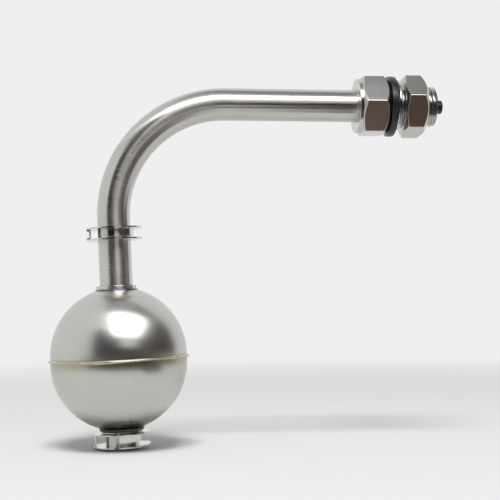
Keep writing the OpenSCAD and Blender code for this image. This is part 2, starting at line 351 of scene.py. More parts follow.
def ground_steel(name, tone, roughness, run, scratch, depth):
    """Steel with fine and coarse scratches across the run, and a patchy polish."""
    finish = steel(name, tone, roughness)
    spot = finish.place()
    across = finish.node("ShaderNodeVectorMath", {"operation": "SCALE"}, {0: spot, 3: STRETCH})
    lines = finish.join(run(finish), finish.split(across, 1), finish.split(across, 2))
    fine = finish.noise(lines, scratch, 2)
    coarse = finish.noise(lines, 9 * scratch, 3, 0.6)
    clouds = finish.noise(spot, 9 * MM, 4)
    worn = 0.6 * clouds + 0.4 * coarse
    finish.set(base_color=finish.mix(worn, shade(tone, 0.90), shade(tone, 1.05)),
               roughness=roughness - 0.05 + 0.07 * clouds + 0.05 * coarse)
    finish.bump(fine + 0.6 * coarse, depth)
    return finish


stem_steel = ground_steel("stem_steel", STEEL, 0.25, stem_run, 0.12 * MM, 0.0006 * MM)
stem_steel.set(anisotropic=0.9, anisotropic_rotation=0.25)
print("stem steel:", len(stem_steel.tree.nodes), "nodes")

# %% [markdown]
# ## The ball's steel
# The float is pressed from thin sheet in two halves, blasted to a satin and wiped round
# by hand. The wiping leaves no line that can be seen by itself, only a highlight that is
# wider than it is high, so it is some anisotropy and no texture. Welding the waist left
# a straw and olive tint on either side of the seam. The wider, darker band below the seam
# is that tint together with painted shade under the seam, and the dark band at the foot,
# next to its neck, is painted shade. A tint is an oxide film and not a paint, so it only
# colours the metal: tint and painted shade are mixed into the base colour by the height
# from the ball's middle, which noise makes uneven.

# %% Ball steel
BALL_TONE = (0.60, 0.60, 0.575, 1)
STRAW = (0.40, 0.36, 0.20, 1)
# painted shade: the colour that darkens the ball's bottom next to its neck
FOOT_SHADE_TONE = (0.060, 0.054, 0.056, 1)
TINT_AND_SHADE_BELOW_SEAM = (0.6 * MM, 4.2 * MM)       # where the straw tint and the painted shade under the seam fade out, downwards
ABOVE_SEAM = (0.3 * MM, 1.6 * MM)       # and upwards
# where the painted shade at the foot comes in, by depth below the ball's middle
FOOT_SHADE_BAND = (0.96 * BALL_R, 0.99 * BALL_R)
CROWN_BAND = (0.985 * BALL_R, 1.02 * BALL_R)


def blasted_steel(name):
    finish = steel(name, BALL_TONE, 0.27)
    spot = finish.place()
    height = finish.along(UP, BALL)
    depth = 0 - height
    clouds = finish.noise(spot, 14 * MM, 4)
    grain = finish.noise(spot, 0.25 * MM, 2)
    uneven = finish.noise(spot, 5 * MM, 3)
    tone = finish.mix(clouds, shade(BALL_TONE, 0.92), BALL_TONE)
    # below the seam: real heat tint together with painted shade under the seam's ridge
    lower = (1 - depth.step(*TINT_AND_SHADE_BELOW_SEAM)) * depth.above(0)
    upper = (1 - height.step(*ABOVE_SEAM)) * height.above(0)
    tone = finish.mix((lower + upper) * (0.25 + 0.9 * uneven), tone, STRAW)
    # painted shade at the foot, next to the neck, made uneven by noise
    tone = finish.mix(depth.step(*FOOT_SHADE_BAND) * (0.6 + 0.8 * uneven), tone, FOOT_SHADE_TONE)
    tone = finish.mix(height.step(*CROWN_BAND) * (0.3 + 0.7 * uneven), tone, STRAW)
    finish.set(base_color=tone, roughness=0.24 + 0.09 * clouds, anisotropic=0.45)
    finish.bump(grain, 0.0006 * MM)
    return finish


ball_steel = blasted_steel("ball_steel")
print("ball steel:", len(ball_steel.tree.nodes), "nodes")

# %% [markdown]
# ## Welds
# A weld bead is metal that froze in ripples, one for each dab of the torch, so it is
# rougher than the sheet and its colour changes from ripple to ripple. The ripples
# themselves are geometry, further down. Here the finish adds the grain on them. The seam
# is bright where it was brushed, and the neck welds kept their brown and violet tints.

# %% Weld finishes
SEAM_TONE = (0.57, 0.555, 0.51, 1)
SEAM_TINT = (0.50, 0.47, 0.37, 1)
NECK_TONE = (0.24, 0.21, 0.19, 1)
VIOLET = (0.16, 0.10, 0.26, 1)


def weld(name, tone, tint, roughness):
    """A bead that is tinted in patches."""
    finish = steel(name, tone, roughness)
    spot = finish.place()
    patches = finish.noise(spot, 3 * MM, 3).step(0.38, 0.62)
    grain = finish.noise(spot, 0.4 * MM, 4, 0.6)
    finish.set(base_color=finish.mix(patches, tone, tint),
               roughness=roughness - 0.06 + 0.14 * grain)
    finish.bump(grain, 0.03 * MM)
    return finish


weld_steel = weld("weld_steel", SEAM_TONE, SEAM_TINT, 0.24)
tinted_weld = weld("tinted_weld", NECK_TONE, VIOLET, 0.28)
print("weld finishes:", weld_steel.owner.name, tinted_weld.owner.name)

# %% [markdown]
# ## Turned and pressed steel
# The hexagons are cut from bright bar, whose flats keep the fine lines of its drawing.
# The washer and clips are rolled sheet with a brighter polish. The stem's function makes
# these scratches too, from another run: it goes round the bar, so the lines lie along it.

# %% Steel of the head and the clips
HEX_TONE = (0.60, 0.585, 0.565, 1)


def across_bar(finish):
    """Runs round the bar, a little aslant, so that the scratches lie along it."""
    spot = finish.place()
    return finish.split(spot, 1) + finish.split(spot, 2) * 0.7


turned_steel = ground_steel("turned_steel", HEX_TONE, 0.20, across_bar, 0.2 * MM, 0.003 * MM)
washer_steel = ground_steel("washer_steel", (0.66, 0.655, 0.64, 1), 0.16, across_bar,
                            0.3 * MM, 0.002 * MM)
clip_steel = ground_steel("clip_steel", (0.68, 0.675, 0.66, 1), 0.15, across_bar,
                          0.25 * MM, 0.003 * MM)
print("head and clip finishes:", turned_steel.owner.name, washer_steel.owner.name,
      clip_steel.owner.name)

# %% [markdown]
# ## Rubber, resin and what is sealed inside
# Rubber is black but never flat: a faint bloom lightens it in patches, and the mould
# leaves a fine grain. The pieces inside the stem show only when the part is taken apart,
# but each still has the finish of its own stuff: cast resin, silicone insulation, green
# glass, speckled ferrite and a glass-fibre strip.

# %% Rubber, resin and the inner finishes
def dull(name, tone, other, size, roughness, relief, metallic=0.0):
    """A non-metal that is blotched between two tones, with a fine grain."""
    finish = Finish(bpy.data.materials.new(name), "Principled BSDF")
    spot = finish.place()
    blotch = finish.noise(spot, size, 4)
    grain = finish.noise(spot, size / 8, 2)
    finish.set(base_color=finish.mix(blotch.step(0.3, 0.7), tone, other), metallic=metallic,
               roughness=roughness + 0.12 * (grain - 0.5))
    finish.bump(grain, relief)
    return finish


black_rubber = dull("black_rubber", grey(0.012), grey(0.022), 4 * MM, 0.30, 0.01 * MM)
resin = dull("resin", grey(0.035), (0.06, 0.05, 0.04, 1), 2 * MM, 0.18, 0.01 * MM)
red_insulation = dull("red_insulation", (0.42, 0.02, 0.015, 1), (0.55, 0.04, 0.03, 1),
                      1.5 * MM, 0.45, 0.005 * MM)
black_insulation = dull("black_insulation", grey(0.02), grey(0.035), 1.5 * MM, 0.45, 0.005 * MM)
reed_wire = dull("reed_wire", (0.62, 0.45, 0.22, 1), (0.72, 0.56, 0.32, 1), 1 * MM, 0.3,
                 0.004 * MM, 1.0)
board = dull("board", (0.03, 0.14, 0.06, 1), (0.05, 0.22, 0.10, 1), 0.8 * MM, 0.5, 0.01 * MM)
jacket = dull("jacket", grey(0.62, 0.02), grey(0.72, 0.01), 3 * MM, 0.55, 0.008 * MM)
magnet = dull("magnet", grey(0.045), grey(0.09), 0.6 * MM, 0.6, 0.02 * MM)
reed_glass = dull("reed_glass", (0.62, 0.80, 0.62, 1), (0.72, 0.86, 0.70, 1), 2 * MM, 0.08,
                  0.002 * MM)
reed_glass.set(transmission_weight=0.85, ior=1.5)
FINISHES = {f.owner.name: f for f in (
    stem_steel, ball_steel, weld_steel, tinted_weld, turned_steel, washer_steel, clip_steel,
    black_rubber, resin, red_insulation, black_insulation, reed_wire, board, jacket, magnet,
    reed_glass)}
print(len(FINISHES), "finishes:", ", ".join(FINISHES))

# %% [markdown]
# ## Dressing the nodes
# A piece that never shows keeps its exact node, and only its material changes. The record
# names the finish of every node, so a loop can dress them all. Pieces that show are made
# again below with more detail, and the node they stand for is then hidden.

# %% Give every node its finish
SLOT_OF = {part["node"]: part["material_slot"] for part in frame["record"]["subparts"]}
BODY_OF = {node: body for body, nodes in frame["record"]["behaviour"]["bodies"].items()
           for node in nodes}
for node, piece in frame["nodes"].items():
    for slot in piece.material_slots:
        slot.material = FINISHES[SLOT_OF[node]].owner
print("dressed", len(frame["nodes"]), "nodes")

# %% [markdown]
# ## How the pieces are made
# Nearly everything here was turned, drawn or pressed round an axis. So a piece is
# described by columns of points, one column for each angle round its axis, and a skin of
# quads is laid between neighbouring columns. A modifier could spin one outline, but it
# could not let the outline change with the angle, which is what hexagons, thread and
# weld ripples need. A thread climbs by some rows in a turn, so its last column meets the
# first one that many rows further on.

# %% Skins of quads
MERGE = 1e-7                            # points nearer than this are one point


def skin(bm, columns, climb=0, closed=True):
    """Quads between neighbouring columns; the last meets the first climb rows further on."""
    grid = [[bm.verts.new(point) for point in column] for column in columns]
    for i in range(len(grid) if closed else len(grid) - 1):
        left = grid[i]
        right = grid[(i + 1) % len(grid)]
        ahead = climb if i == len(grid) - 1 else 0
        for j in range(len(left) - 1 - ahead):
            bm.faces.new((left[j], left[j + 1], right[j + 1 + ahead], right[j + ahead]))


def mesh_of(name, bm):
    """The finished mesh of what was being built."""
    mesh = bpy.data.meshes.new(name)
    bm.to_mesh(mesh)
    bm.free()
    return mesh


def polar(seat, angle, radius, height):
    """A point round the seat's own Z axis."""
    return seat @ Vector((radius * cos(angle), radius * sin(angle), height))


def full_turn(count):
    return [tau * i / count for i in range(count)]


ROUND = full_turn(144)
print("columns of", len(ROUND), "round an axis")

# %% [markdown]
# ## From skins to a piece of the object
# A skin's first and last points often fall on one spot, such as on the axis, so they are
# merged, and what is left of the faces there is cleared away. Then the mesh becomes an
# object that rides on the same body as the node it stands for, and wears its finish. A
# seat is a matrix that stands a piece's own Z axis on an axis of the object.

# %% Pieces
SHARP = radians(32)                     # edges that turn more than this stay sharp


def make_piece(name, bm, node, sharp=SHARP):
    """Closes the skins into one mesh, which rides and is finished as its node says."""
    bmesh.ops.remove_doubles(bm, verts=bm.verts, dist=MERGE)
    bmesh.ops.dissolve_degenerate(bm, edges=bm.edges, dist=MERGE)
    bmesh.ops.delete(bm, geom=[e for e in bm.edges if e.is_wire], context="EDGES")
    bmesh.ops.recalc_face_normals(bm, faces=bm.faces)
    mesh = mesh_of(name, bm)
    mesh.shade_smooth()
    mesh.set_sharp_from_angle(angle=sharp)
    mesh.materials.append(FINISHES[SLOT_OF[node]].owner)
    piece = add(name, mesh)
    even = piece.modifiers.new("even shading", "WEIGHTED_NORMAL")
    even.keep_sharp = True
    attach(piece, BODY_OF[node])
    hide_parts(node)
    print(name, "has", len(mesh.polygons), "faces")
    return piece


def turned(name, node, seat, outline, angles=ROUND, sharp=SHARP):
    """A ring with a closed outline of (radius, height) points, or one for each angle."""
    bm = bmesh.new()
    columns = []
    for angle in angles:
        points = outline(angle) if callable(outline) else outline
        columns.append([polar(seat, angle, *point) for point in points + points[:1]])
    skin(bm, columns)
    return make_piece(name, bm, node, sharp)


def seat_on(origin, x_axis, z_axis):
    """A matrix that stands a piece's own Z axis on an axis of the frame."""
    y_axis = z_axis.cross(x_axis)
    turned_axes = Matrix((x_axis, y_axis, z_axis)).transposed().to_4x4()
    return Matrix.Translation(origin) @ turned_axes


HEAD = seat_on(Vector((0, 0, 0)), Vector((0, 1, 0)), OUT)
LEG = seat_on(BALL, LEG_X, UP)
UPSIDE_DOWN = seat_on(BALL, LEG_X, -UP)
print("seats at the head and at", tuple(round(v / MM, 1) for v in BALL), "mm")

# %% [markdown]
# ## Edges that aren't razor sharp
# No real edge is a knife, and a small round is what catches a thin line of light. The
# Bevel modifier could round the finished mesh, but it would also touch the thread. So
# each corner of an outline is replaced by a short arc before the outline is turned.

# %% Rounded outlines
ARC_STEPS = 3
NEARLY_STRAIGHT = radians(172)
INNER = slice(ARC_STEPS + 1, -ARC_STEPS - 1)    # drops the first and the last corner's arc


def eased(points, ease, steps=ARC_STEPS):
    """The outline with each of its corners rounded off by arcs of this size."""
    soft = []
    for i, corner in enumerate(points):
        here = Vector(corner)
        back = Vector(points[i - 1]) - here
        ahead = Vector(points[(i + 1) % len(points)]) - here
        if back.length < 1e-9 or ahead.length < 1e-9 or back.angle(ahead) > NEARLY_STRAIGHT:
            soft.append(tuple(here))
            continue
        cut = min(ease, 0.45 * back.length, 0.45 * ahead.length)
        start = here + back.normalized() * cut
        end = here + ahead.normalized() * cut
        for k in range(steps + 1):
            t = k / steps
            soft.append(tuple((1 - t) ** 2 * start + 2 * t * (1 - t) * here + t ** 2 * end))
    return soft


print("each corner becomes", ARC_STEPS + 1, "points")

# %% [markdown]
# ## The stem
# The stem is one tube: an arm, a bend and a leg. A curve with a bevel would draw it in
# one call, but the tube has a wall and a rounded lower lip, so rings are carried along
# the path instead: out on the outside, round the lip, and back along the bore. The mesh's
# texture space then gets its middle on the leg, because the polish's directions are
# counted round an upright line through that middle.

# %% Stem
SOCKET_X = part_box("potting_seal")[0].x
LEG_LOW = along(UP, "stem_tube", BALL)[0]
LEG_LENGTH = (BEND_END - BALL).dot(UP) - LEG_LOW
BORE_R = reach(UP, "foot_resin", BALL)[1]
BEND_STEPS = 64
ARM_RINGS = (-20 * MM, -35 * MM, -50 * MM)
LEG_RINGS = (0.15, 0.3, 0.5, 0.7, 0.85)         # as shares of the leg
LIP = 0.25 * MM
LIP_STEPS = 4


def stem_stations():
    """Centre, and the direction away from the bend's middle, at each ring of the path."""
    stations = [(Vector((x, 0, 0)), Vector((0, 0, 1))) for x in (SOCKET_X, *ARM_RINGS)]
    for i in range(BEND_STEPS + 1):
        angle = BEND_TURN * i / BEND_STEPS
        out = Vector((-sin(angle), 0, cos(angle)))
        stations.append((BEND_MIDDLE + BEND_R * out, out))
    for share in LEG_RINGS:
        stations.append((BEND_END - UP * share * LEG_LENGTH, -LEG_X))
    return stations


def stem_ring(station, angle, radius):
    centre, out = station
    return centre + radius * (cos(angle) * out + sin(angle) * Vector((0, 1, 0)))


def stem_column(angle):
    """Out along the outside, round the lip at the foot, and back along the bore."""
    foot = BEND_END - UP * LEG_LENGTH
    stations = stem_stations()
    outside = [stem_ring(station, angle, TUBE_R) for station in stations]
    lip = []
    for i in range(LIP_STEPS + 1):
        a = pi / 2 * i / LIP_STEPS
        lip.append(stem_ring((foot + UP * LIP * (1 - sin(a)), -LEG_X), angle,
                             TUBE_R - LIP * (1 - cos(a))))
    inside = [stem_ring(station, angle, BORE_R) for station in [(foot, -LEG_X)] + stations[::-1]]
    points = outside + lip + inside
    return points + points[:1]


bm = bmesh.new()
skin(bm, [stem_column(angle) for angle in full_turn(96)])
stem = make_piece("stem", bm, "stem_tube")
stem.data.use_auto_texspace = False
stem.data.texspace_location = BEND_END
stem.data.texspace_size = (0.1, 0.1, 0.1)
print("the stem's leg is", round(LEG_LENGTH / MM, 1), "mm long")

# %% [markdown]
# ## The foot's plug and the weld at the head
# The foot is closed by a small dished disc, fused to the tube's lip by a thin weld. At
# the other end a bead joins the stem to the hexagon. A bead is a ring whose outline
# swells and shrinks with the angle: a fast sine for the ripples, and slow noise for the
# hand that held the torch.

# %% Foot plug and stem weld
def ripple(angle, count, seed):
    """From -1 to 1: the dabs of a weld with this many ripples in a turn."""
    drift = noise.noise(Vector((2 * cos(angle), 2 * sin(angle), seed)))
    skip = noise.noise(Vector((9 * cos(angle), 9 * sin(angle), seed + 5)))
    return 0.55 * abs(sin(count / 2 * angle + 3 * drift)) * 2 - 0.55 + 0.45 * skip


PLUG_TOP = along(UP, "foot_resin", BALL)[0]
# How far the plug stands out below the tube's lip, as (radius, depth) in millimetres.
DISH = ((0, 0.30), (1.2, 0.28), (2.4, 0.20), (3.4, 0.10), (4.0, 0.02), (4.5, 0.05))


def plug_outline(angle):
    bulge = 0.12 + 0.05 * ripple(angle, 60, 3)
    bead = ((4.75, 0.07 + bulge), (5.0, 0.09 + bulge), (5.2, 0.05 + bulge), (BORE_R / MM, 0.02))
    points = [(r * MM, LEG_LOW - h * MM) for r, h in DISH + bead]
    return [(0, PLUG_TOP)] + points + [(BORE_R, PLUG_TOP)]


turned("foot_plug", "stem_end_plug", LEG, plug_outline)
HEAD_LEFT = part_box("mounting_body")[0].x
BEAD_ROOT = TUBE_R - 0.05 * MM
STEM_BEAD_STEPS = 8


def stem_bead(angle):
    size = (BEAD_R - TUBE_R) * (0.93 + 0.07 * ripple(angle, 46, 7))
    rings = [(BEAD_ROOT, HEAD_LEFT)]
    for i in range(STEM_BEAD_STEPS + 1):
        a = pi / 2 * i / STEM_BEAD_STEPS
        rings.append((TUBE_R + size * cos(a) ** 0.8, HEAD_LEFT - size * sin(a) ** 0.8))
    return rings + [(BEAD_ROOT, HEAD_LEFT - size)]


turned("stem_bead", "stem_weld", HEAD, stem_bead, full_turn(240))

# %% [markdown]
# ## Hexagons
# The body and the nut are cut from hexagon bar. Their flats meet the cone of each chamfer
# in a curved edge, which comes out by itself when every column runs straight from the
# cone to the flat. The angles are packed closer at the six corners, so that these can be
# rounded a little and catch the light.

# %% Hexagons
HEX_R = reach(OUT, "mounting_body")[1]
FLAT_R = HEX_R * cos(radians(30))
CORNER_ROUND = 0.5 * MM
BODY_CORNER = radians(180 - 58.9)       # how each hexagon stands, read from the photograph
NUT_CORNER = radians(180 - 70.4)
FLAT_STEPS = 18
CORNER_STEPS = 4


def hex_angles(first_corner):
    """Angles round a hexagon, packed at its corners."""
    corner_half = atan2(CORNER_ROUND / 2, HEX_R)
    angles = []
    for side in range(6):
        corner = first_corner + side * tau / 6
        for i in range(CORNER_STEPS):
            angles.append(corner - corner_half + 2 * corner_half * i / CORNER_STEPS)
        for i in range(FLAT_STEPS):
            share = i / FLAT_STEPS
            angles.append(corner + corner_half + share * (tau / 6 - 2 * corner_half))
    return angles


def hex_radius(angle, first_corner):
    """How far the bar's surface is from its axis: a flat, or a rounded corner."""
    off = (angle - first_corner + pi / 6) % (tau / 6) - pi / 6
    centre = (FLAT_R - CORNER_ROUND) / cos(pi / 6)
    edge = atan2(CORNER_ROUND / 2, centre + CORNER_ROUND * cos(pi / 6))
    if abs(off) < edge:
        return centre * cos(off) + sqrt(CORNER_ROUND ** 2 - (centre * sin(off)) ** 2)
    return FLAT_R / cos(pi / 6 - abs(off))


def hex_side(radius, left_x, right_x, left, right):
    """The outline's outer part: rim, cone, flat, cone, rim. left and right are
    (radius at the face, depth of the cone at the corners)."""
    left_slope = left[1] / (HEX_R - left[0])
    right_slope = right[1] / (HEX_R - right[0])
    return [(left[0], left_x), (radius, left_x + (radius - left[0]) * left_slope),
            (radius, right_x - (radius - right[0]) * right_slope), (right[0], right_x)]


print("hexagon", round(2 * FLAT_R / MM, 2), "mm across its flats")

# %% [markdown]
# ## A thread that really climbs
# A ring of grooves would pass for a thread from afar, but its crests would stand square
# to the axis. A screw's crests lean, and the eye sees it. So each column of points starts
# a little further along than the one before, and after a full turn the last column meets
# the first one a whole pitch on. Every lap has its rows at the same shares of the pitch,
# packed where the flanks meet the root and the crest.

# %% Thread
PITCH = 1.5 * MM
CREST_R = 8.0 * MM
ROOT_R = CREST_R - 0.6134 * PITCH       # the depth of a metric thread
CREST_SHARE = 0.079
ROOT_SHARE = 0.06
THREAD_STOPS = (0.0, 0.06, 0.15, 0.36, 0.405, 0.421, 0.579, 0.595, 0.64, 0.85, 0.94)


def thread_radius(angle, x, phase, crest=CREST_R, root=ROOT_R, crest_share=CREST_SHARE):
    """Radius of a right-hand thread at an angle and a place along the shank."""
    turn_share = ((x - phase) / PITCH - angle / tau) % 1
    off = abs(turn_share - 0.5)
    flank = (0.5 - ROOT_SHARE - off) / (0.5 - ROOT_SHARE - crest_share)
    return root + (crest - root) * min(1, max(0, flank))


def thread_columns(seat, angles, start, end, phase, radius_at):
    """Columns of points that climb with the thread, held between its two ends."""
    turns = int((end - phase) / PITCH) + 2
    columns = []
    first = angles[0]
    for angle in angles:
        column = []
        for row in range(-len(THREAD_STOPS), turns * len(THREAD_STOPS)):
            lap, stop = divmod(row, len(THREAD_STOPS))
            x = phase + PITCH * (lap + THREAD_STOPS[stop] + (angle - first) / tau)
            x = min(end, max(start, x))
            column.append(polar(seat, angle, radius_at(angle - first, x), x))
        columns.append(column)
    return columns


print("pitch", PITCH / MM, "mm, crests", 2 * CREST_R / MM, "mm across")

# %% [markdown]
# ## The mounting body
# The body is turned in one piece with its shank. Its left end is a round shoulder, where
# the bar's corners were cut away for the weld. The thread runs out under the gasket and
# ends in the shank's chamfer. Two skins make it: the hexagon, which closes on itself, and
# the thread, which climbs. They share their end rings, so they become one closed mesh.

# %% Mounting body
HEAD_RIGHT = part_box("gasket")[0].x
HEX_LEFT = HEAD_LEFT + 1.5 * MM
SHOULDER_R = FLAT_R - 0.25 * MM
SHANK_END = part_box("mounting_body")[1].x
NECK_END = 0.25 * MM
RUN_OUT = 0.5 * MM
SHANK_CHAMFER = 0.28 * MM
BODY_BORE_R = reach(OUT, "potting_seal")[1]
THREAD_PHASE = 0.25 * MM
BODY_CONES = ((SHOULDER_R, 1.0 * MM), (FLAT_R - 1.0 * MM, 2.4 * MM))


def shank_radius(angle, x):
    """The thread, run out at the neck and cut by the chamfer at the end."""
    fade = min(1, max(0, (x - NECK_END) / RUN_OUT))
    chamfer = CREST_R - SHANK_CHAMFER + (SHANK_END - x)
    full = thread_radius(angle, x, THREAD_PHASE)
    return min(ROOT_R + (full - ROOT_R) * fade, max(chamfer, ROOT_R))


def body_outline(angle):
    """From the socket's mouth over the hexagon to the neck."""
    side = hex_side(hex_radius(angle, BODY_CORNER), HEX_LEFT, HEAD_RIGHT, *BODY_CONES)
    mouth = [(BODY_BORE_R, SOCKET_X), (TUBE_R, SOCKET_X), (TUBE_R, HEAD_LEFT),
             (SHOULDER_R, HEAD_LEFT)]
    return eased(mouth + side + [(ROOT_R, HEAD_RIGHT)], 0.22 * MM)[INNER]


bm = bmesh.new()
angles = hex_angles(BODY_CORNER)
hexagon = []
for angle in angles:
    rim = [(shank_radius(angle - angles[0], SHANK_END), SHANK_END)]
    bore = [(BODY_BORE_R, SHANK_END), (BODY_BORE_R, SOCKET_X), (TUBE_R, SOCKET_X)]
    neck = [(ROOT_R, HEAD_RIGHT), (ROOT_R, NECK_END)]
    hexagon.append([polar(HEAD, angle, *point)
                    for point in rim + bore + body_outline(angle) + neck])
skin(bm, hexagon)
skin(bm, thread_columns(HEAD, angles, NECK_END, SHANK_END, THREAD_PHASE, shank_radius),
     climb=len(THREAD_STOPS))
make_piece("head_body", bm, "mounting_body")

# %% [markdown]
# ## The gasket and the loose washer
# The gasket is moulded rubber: its rim has a fine parting line, and it bulges slightly
# where the body presses it. The washer is punched from sheet, which rolls one edge over
# and leaves the other sharp. It hangs loose on the thread and leans.

# %% Gasket and washer
GASKET_HOLE, GASKET_R = reach(OUT, "gasket")
PARTING_RISE = 0.05 * MM
PARTING_HALF = 0.12 * MM


def gasket_outline(angle):
    middle = HEAD_RIGHT / 2
    sag = 0.04 * MM * noise.noise(Vector((3 * cos(angle), 3 * sin(angle), 1)))
    rim = GASKET_R - PARTING_RISE + sag
    corners = [(GASKET_HOLE, HEAD_RIGHT), (rim - 0.05 * MM, HEAD_RIGHT),
               (rim, middle - PARTING_HALF), (rim + PARTING_RISE, middle),
               (rim, middle + PARTING_HALF), (rim - 0.05 * MM, 0), (GASKET_HOLE, 0)]
    return eased(corners, 0.32 * MM, 4)


turned("gasket_ring", "gasket", HEAD, gasket_outline)
washer_low, washer_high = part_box("flat_washer")
WASHER_MIDDLE = (washer_low + washer_high) / 2
WASHER_LEAN = radians(3)
WASHER_AXIS = Matrix.Rotation(WASHER_LEAN, 3, "Y") @ OUT
WASHER_IN, WASHER_R = reach(WASHER_AXIS, "flat_washer", WASHER_MIDDLE)
WASHER_HALF = along(WASHER_AXIS, "flat_washer", WASHER_MIDDLE)[1]


def washer_outline(angle):
    nick = 0.02 * MM * ripple(angle, 30, 11)
    low, high = -WASHER_HALF, WASHER_HALF
    return [(WASHER_IN, low + 0.05 * MM), (WASHER_IN + 0.05 * MM, low),
            (WASHER_R - 0.20 * MM, low), (WASHER_R - 0.08 * MM, low + 0.05 * MM),
            (WASHER_R - 0.02 * MM, low + 0.16 * MM), (WASHER_R, high - 0.1 * MM),
            (WASHER_R + min(0, nick), high - 0.02 * MM), (WASHER_R - 0.05 * MM, high),
            (WASHER_IN + 0.08 * MM, high), (WASHER_IN, high - 0.08 * MM)]


turned("thin_washer", "flat_washer", seat_on(WASHER_MIDDLE, Vector((0, 1, 0)), WASHER_AXIS),
       washer_outline)

# %% [markdown]
# ## The lock nut
# The nut is cut from the same bar, with a cone at each end. Its thread uses the same
# formula with a little more radius, so the two threads stay a hair apart, and because the
# nut moves one pitch in a turn, they stay so while it is screwed along. Its columns start
# at another corner than the body's, so the phase makes up for that part of a turn.

# %% Lock nut
NUT_LEFT, NUT_RIGHT = (corner.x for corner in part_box("lock_nut"))
NUT_CREST = CREST_R + 0.05 * MM
NUT_ROOT = ROOT_R + 0.24 * MM
NUT_MOUTH = NUT_CREST + 0.55 * MM       # radius of the cone at each face
NUT_CONES = ((FLAT_R - 0.6 * MM, 1.3 * MM), (FLAT_R - 0.8 * MM, 1.9 * MM))
NUT_PHASE = THREAD_PHASE + PITCH * (NUT_CORNER - BODY_CORNER) / tau


def nut_radius(angle, x):
    """The nut's inner thread, opened by a cone at each face."""
    inner = thread_radius(angle, x, NUT_PHASE, NUT_CREST, NUT_ROOT, CREST_SHARE + 0.03)
    return max(inner, NUT_MOUTH - min(x - NUT_LEFT, NUT_RIGHT - x))


def nut_outline(angle):
    """From one mouth over the hexagon to the other."""
    side = hex_side(hex_radius(angle, NUT_CORNER), NUT_LEFT, NUT_RIGHT, *NUT_CONES)
    outside = eased([(NUT_MOUTH, NUT_LEFT)] + side + [(NUT_MOUTH, NUT_RIGHT)], 0.14 * MM)[INNER]
    return [(NUT_MOUTH, NUT_LEFT)] + outside + [(NUT_MOUTH, NUT_RIGHT)]


bm = bmesh.new()
angles = hex_angles(NUT_CORNER)
skin(bm, [[polar(HEAD, angle, *point) for point in nut_outline(angle)] for angle in angles])
skin(bm, thread_columns(HEAD, angles, NUT_LEFT, NUT_RIGHT, NUT_PHASE, nut_radius),
     climb=len(THREAD_STOPS))
make_piece("hexagon_nut", bm, "lock_nut")

# %% [markdown]
# ## The cable bush
# A rubber bush closes the shank, and its narrow nose holds the two leads. It is moulded,
# so all of its edges are soft, and the nose has two shallow ribs. The leads end flush
# with the nose and keep their exact nodes, so each needs a hole. Boolean modifiers drill
# them, and are applied at once.

# %% Cable bush
BUSH_LEFT, NOSE_END = (corner.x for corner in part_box("lead_grommet"))
NOSE_R = 2.75 * MM
NOSE_START = SHANK_END + 0.95 * MM
RIB_STEP = 0.35 * MM
RIB_DEPTH = 0.18 * MM
LEAD_HOLE_R = 0.8 * MM
LEAD_OFFSET = 1.3 * MM


def applied(piece, kind, **settings):
    """Adds a modifier before the others and applies it, so that the next sees its result."""
    modifier = piece.modifiers.new(kind.title(), kind)
    for name, value in settings.items():
        setattr(modifier, name, value)
    with bpy.context.temp_override(object=piece, active_object=piece, selected_objects=[piece]):
        bpy.ops.object.modifier_move_to_index(modifier=modifier.name, index=0)
        bpy.ops.object.modifier_apply(modifier=modifier.name)


corners = [(0, BUSH_LEFT), (BODY_BORE_R, BUSH_LEFT), (BODY_BORE_R, SHANK_END + 0.05 * MM),
           (BODY_BORE_R - 0.5 * MM, SHANK_END + 0.4 * MM),
           (NOSE_R + 0.6 * MM, SHANK_END + 0.6 * MM)]
corners += [(NOSE_R - RIB_DEPTH * (i % 2), NOSE_START + i * RIB_STEP) for i in range(5)]
corners += [(NOSE_R - 0.05 * MM, NOSE_END - 0.35 * MM), (NOSE_R - 0.55 * MM, NOSE_END),
            (0, NOSE_END)]
bush = turned("cable_bush", "lead_grommet", HEAD, eased(corners, 0.2 * MM, 4))
for side in (-1, 1):
    drill = bmesh.new()
    bmesh.ops.create_cone(drill, cap_ends=True, segments=48, radius1=LEAD_HOLE_R,
                          radius2=LEAD_HOLE_R, depth=40 * MM)
    drill.transform(Matrix.Translation((NOSE_END, side * LEAD_OFFSET, 0))
                    @ Matrix.Rotation(pi / 2, 4, "Y"))
    hole = add("lead_hole", mesh_of("lead_hole", drill))
    applied(bush, "BOOLEAN", object=hole)
    bpy.data.objects.remove(hole)
bush.data.set_sharp_from_angle(angle=SHARP)
print("the drilled bush has", len(bush.data.polygons), "faces")

# %% [markdown]
# ## The float
# Each half of the float is a pressed bowl. Its opening at the stem is turned up into a
# small lip, and the lower one is drawn out into a neck, with a soft root where the sheet
# was stretched. The two halves meet at the waist, where each rim is bent outwards a
# little and fused into the seam. The guide tube goes right through and shows as a thin
# ring at both ends.

# %% Float shells
WALL = 0.8 * MM
SKIRT = 1.4 * MM                        # the straight part of the bowl at the waist
NECK_R = 8.5 * MM
NECK_LIP = 0.2 * MM
NECK_FOOT = -along(UP, "float_lower_shell", BALL)[0]
ROOT_SOFT = 1.1 * MM
SHELL_STEPS = 40


def bowl(radius, from_r):
    """The bowl's arc, from the opening's radius out to the skirt at the waist."""
    start = asin(from_r / radius)
    points = []
    for i in range(SHELL_STEPS + 1):
        a = start + (pi / 2 - start) * i / SHELL_STEPS
        points.append((radius * sin(a), SKIRT + radius * cos(a)))
    return points


def shell(outer):
    """Closes a bowl's outside with its waist and its inside."""
    waist = [(BALL_R, 0.0), (BALL_R - WALL, 0.0)]
    return outer + waist + bowl(BALL_R - WALL, GUIDE_R)[::-1]


